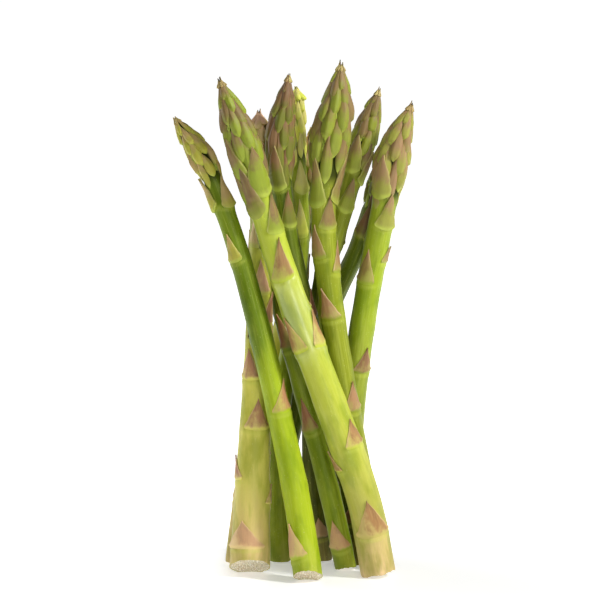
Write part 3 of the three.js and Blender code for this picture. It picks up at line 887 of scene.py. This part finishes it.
def scale_material(spear):
    """Scales: papery, purple-brown and veined below, green at the root and brown-tipped above"""
    shader = Shader(f"{spear.name}_scales", Specular_IOR_Level=0.3,
                    Subsurface_Weight=0.03, Subsurface_Scale=MM)
    low_middle, low_edge = spear.colours["low"]
    high_root, high_tip = spear.colours["high"]
    v, w, seed = shader.parts(shader.field("leaf"))
    rise, dry, _ = shader.parts(shader.field("kind"))
    grain = shader.field("grain")
    deep = shader.field("deep", "Fac")
    veins = shader.noise(grain, SCALE_VEINS, 3.0, 0.6)
    cloud = shader.noise(grain, SCALE_CLOUDS, 3.0, 0.6)
    skin = shader.ramp(rise, spear.colours["skin"])
    along = v + (cloud - 0.5) * 0.6 + (seed - 0.5) * 0.5
    side = w.size()
    flank = v + w * (seed - 0.5) * 1.4 + (cloud - 0.5) * 1.3
    low = shader.mix(flank.step(-0.15, 0.5), shader.mix(0.55, low_edge, skin), low_middle)
    low = shader.mix(flank.step(0.6, 1.3) * 0.7, low, times(low_middle, 0.5))
    low = shader.mix(veins.step(0.45, 0.7) * 0.35, low, times(low_edge, 0.85))
    low = shader.mix(rise.step(0.075, 0.055) * 0.35, low, FOOT_PINK)
    low = shader.mix(side.step(0.78, 0.97) * 0.8, low, low_edge)
    low = shader.mix((v + (cloud - 0.5) * 0.16).step(0.14, 0.03), low, skin)
    high = shader.mix(along.step(0.2, 0.6), high_root, high_tip)
    high = shader.mix(along.step(0.7, 1.2) * 0.6, high, times(high_tip, 0.5))
    high = shader.mix(veins.step(0.5, 0.72) * 0.4, high, times(high_root, 1.3))
    high = shader.mix(side.step(0.8, 1.0) * 0.5, high, LEAF_EDGE)
    high = shader.mix(v.step(0.16, 0.02) * 0.7, high, LEAF_ROOT)
    tone = shader.mix(rise.step(0.54, 0.72), low, high)
    tone = shader.mix(cloud.step(0.52, 0.8) * 0.35, tone, times(high_tip, 0.5))
    tone = shader.mix(seed.step(0.5, 1.0) * rise.step(0.6, 0.8) * 0.45, tone, times(high_tip, 0.75))
    tone = shader.mix(dry.step(0.2, 0.8), tone, shader.mix(seed, DRY_STRAW, DRY_BROWN))
    tone = shader.mix((dry * -1).step(0.2, 0.8), tone, BUD_GREEN)
    # Painted shade in the crevices between head scales and on the scales' inner sides
    tone = shader.mix(deep.step(0.1, 0.8) * 0.95, tone, CREVICE_SHADE)
    shader.colour(tone)
    shader.roughness(0.42 + veins * 0.2)
    shader.bump(veins * 0.8 + cloud * 0.4, 0.6, 0.00018)
    return shader.material


def cut_material():
    """The cream fibrous face of the cut end"""
    shader = Shader("cut_end", Specular_IOR_Level=0.3, Subsurface_Weight=0.1, Subsurface_Scale=MM)
    grain = shader.field("grain")
    wet = shader.field("wet", "Fac")
    fibres = shader.noise(grain, FIBRES, 5.0, 0.7)
    blotch = shader.noise(grain, BLOTCHES, 3.0, 0.6)
    tone = shader.mix(fibres.step(0.35, 0.65), FIBRE_DARK, FIBRE_PALE)
    tone = shader.mix(blotch.step(0.5, 0.75) * 0.35, tone, BLOTCH_TAN)
    tone = shader.mix(wet.step(0.0, 0.07), LIP_GREEN, tone)
    shader.colour(tone)
    shader.roughness(0.6 + fibres * 0.2)
    shader.bump(fibres, 0.8, 0.0004)
    return shader.material


def vein_material():
    """The vein ends that dot the cut face"""
    shader = Shader("vein_ends", Specular_IOR_Level=0.3)
    place = shader.node("ShaderNodeTexCoord", output="Object")
    spots = shader.noise(place, VEIN_SPOTS, 2.0, 0.5)
    shader.colour(shader.mix(spots.step(0.4, 0.6), VEIN_PALE, VEIN_TAN))
    shader.roughness(0.55 + spots * 0.2)
    return shader.material


# Vein ends on the cut faces, by Geometry Nodes

def vein_tree(material):
    """Scatters short vein ends over the faces of the cut, with named inputs for their size and seed"""
    tree = bpy.data.node_groups.new("vein_ends", "GeometryNodeTree")
    inputs = dict(Geometry="Geometry", Density="Float", Spacing="Float", Width="Float", Seed="Int")
    for name, kind in inputs.items():
        tree.interface.new_socket(name, in_out="INPUT", socket_type=f"NodeSocket{kind}")
    tree.interface.new_socket("Geometry", in_out="OUTPUT", socket_type="NodeSocketGeometry")
    add = tree.nodes.new
    link = tree.links.new
    given, result = add("NodeGroupInput"), add("NodeGroupOutput")
    scatter = add("GeometryNodeDistributePointsOnFaces")
    scatter.distribute_method = "POISSON"
    link(given.outputs["Geometry"], scatter.inputs["Mesh"])
    link(given.outputs["Spacing"], scatter.inputs["Distance Min"])
    link(given.outputs["Density"], scatter.inputs["Density Max"])
    link(given.outputs["Seed"], scatter.inputs["Seed"])
    bead = add("GeometryNodeMeshIcoSphere")
    bead.inputs["Subdivisions"].default_value = 1
    link(given.outputs["Width"], bead.inputs["Radius"])
    place = add("GeometryNodeInstanceOnPoints")
    link(scatter.outputs["Points"], place.inputs["Points"])
    link(bead.outputs["Mesh"], place.inputs["Instance"])
    link(scatter.outputs["Rotation"], place.inputs["Rotation"])
    vary = add("FunctionNodeRandomValue")
    for socket, size in zip(vary.inputs[2:4], VEIN_SIZES):
        socket.default_value = size
    link(given.outputs["Seed"], vary.inputs["Seed"])
    link(vary.outputs[1], place.inputs["Scale"])
    real = add("GeometryNodeRealizeInstances")
    link(place.outputs["Instances"], real.inputs["Geometry"])
    paint = add("GeometryNodeSetMaterial")
    paint.inputs["Material"].default_value = material
    link(real.outputs["Geometry"], paint.inputs["Geometry"])
    link(paint.outputs["Geometry"], result.inputs["Geometry"])
    return tree


def cut_face_mesh(spear):
    """The cut face alone, as the surface that the vein ends are scattered over"""
    facing = np.arange(FACE_COLUMNS) * 360 / FACE_COLUMNS
    starts = cut_starts(spear, facing)
    rim = spear.at(starts, facing, spear.skin_radius(0.0, facing))
    middle = rim.mean(0)
    shares = np.array([0.9, 0.5, 0.01])
    rings = middle + shares[:, None, None] * (rim - middle)
    rings = rings + spear.tangent[0] * VEIN_LIFT
    rings[..., 2] = np.maximum(rings[..., 2], VEIN_GROUND)
    face = Surface()
    face.add(rings, grid_quads(len(shares), FACE_COLUMNS, closed=True)[:, ::-1])
    return face.build(f"{spear.name}_veins", VEIN_ENDS)


def set_inputs(modifier, **values):
    """Sets a modifier's inputs by their names"""
    for item in modifier.node_group.interface.items_tree:
        if item.in_out == "INPUT" and item.name in values:
            modifier[item.identifier] = values[item.name]


def vein_ends(spear, number):
    piece = cut_face_mesh(spear)
    modifier = piece.modifiers.new("veins", "NODES")
    modifier.node_group = VEIN_TREE
    set_inputs(modifier, Density=VEIN_DENSITY, Spacing=VEIN_SPACING * MM, Width=VEIN_RADIUS * MM,
               Seed=number)
    evaluated = piece.evaluated_get(bpy.context.evaluated_depsgraph_get())
    mesh = bpy.data.meshes.new_from_object(evaluated)
    piece.modifiers.remove(modifier)
    piece.data = mesh
    return piece


# The bundle

CUT_END = cut_material()
VEIN_ENDS = vein_material()
VEIN_TREE = vein_tree(VEIN_ENDS)


def finish_piece(piece, spear):
    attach(piece, "root")
    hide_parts(spear.name)


def build_spear(spear, number):
    stem = Surface()
    add_stem(stem, spear)
    leaves = Surface()
    add_stem_scales(leaves, spear)
    add_head_scales(leaves, spear)
    add_buds(leaves, spear)
    add_wisps(leaves, spear)
    finish_piece(stem.build(f"{spear.name}_stem", skin_material(spear), CUT_END), spear)
    finish_piece(leaves.build(f"{spear.name}_scales", scale_material(spear)), spear)
    finish_piece(vein_ends(spear, number), spear)


for number, spear in enumerate(SPEAR_LIST):
    build_spear(spear, number)


# Stage, light and camera

def area_light(name, place, size, power):
    lamp = bpy.data.lights.new(name, "AREA")
    lamp.shape = "RECTANGLE"
    lamp.size, lamp.size_y = size
    lamp.energy = power
    light = new_object(name, lamp)
    light.location = place
    ahead = Vector(LIGHT_TARGET) - Vector(place)
    light.rotation_euler = ahead.to_track_quat("-Z", "Y").to_euler()


def build_stage():
    """A white floor that glows weakly near the bundle, strongly to its left, where the key light's
    shadow falls, and fully behind it"""
    bpy.ops.mesh.primitive_plane_add(size=FLOOR_SIZE)
    floor = bpy.context.object
    floor.name = "floor"
    paper = Shader("floor_paper", Roughness=0.35, Specular_IOR_Level=0.3, Emission_Strength=1.0)
    place = paper.node("ShaderNodeTexCoord", output="Object")
    away = paper.node("ShaderNodeVectorMath", dict(operation="LENGTH"), [place], output="Value")
    x, y, _ = paper.parts(place)
    near = away.step(*NEAR_ZONE) * NEAR_GLOW
    left = x.step(*LEFT_X) * y.step(*LEFT_Y) * LEFT_GLOW
    behind = y.step(*BEHIND_Y) * (x.size() - y * BEHIND_SPREAD).step(*BEHIND_X)
    glow = near.larger(behind).larger(left)
    paper.feed(paper.surface.inputs["Emission Color"], glow)
    paper.colour(FLOOR_COLOUR)
    floor.data.materials.append(paper.material)


def build_world():
    """A white backdrop whose light on the bundle is softer than it looks"""
    world = bpy.data.worlds.new("studio")
    world.use_nodes = True
    nodes, links = world.node_tree.nodes, world.node_tree.links
    rays = nodes.new("ShaderNodeLightPath")
    strength = nodes.new("ShaderNodeMapRange")
    strength.inputs["To Min"].default_value = AMBIENT
    strength.inputs["To Max"].default_value = 1.0
    links.new(rays.outputs["Is Camera Ray"], strength.inputs["Value"])
    links.new(strength.outputs["Result"], nodes["Background"].inputs["Strength"])
    nodes["Background"].inputs["Color"].default_value = (1, 1, 1, 1)
    bpy.context.scene.world = world
    bpy.context.scene.view_settings.view_transform = "Standard"


def build_camera():
    """Placed so that the photo's pixel frame and the bundle's millimetres meet"""
    drop = math.radians(VIEW_DROP)
    ahead = np.array([0, math.cos(drop), -math.sin(drop)])
    up = np.array([0, math.sin(drop), math.cos(drop)])
    centre = PHOTO_SIZE / 2
    right = np.array([1, 0, 0])
    target = right * (centre - ORIGIN_PIXEL[0]) * PIXEL + up * (ORIGIN_PIXEL[1] - centre) * PIXEL
    data = bpy.data.cameras.new("camera")
    data.sensor_width = SENSOR
    data.lens = SENSOR * CAMERA_AWAY / (PHOTO_SIZE * PIXEL)
    data.clip_end = 20
    camera = new_object("camera", data)
    camera.location = (target - ahead * CAMERA_AWAY) * MM
    camera.rotation_euler = Vector(ahead).to_track_quat("-Z", "Y").to_euler()
    bpy.context.scene.camera = camera


build_stage()
build_world()
for light in LIGHTS:
    area_light(*light)
build_camera()
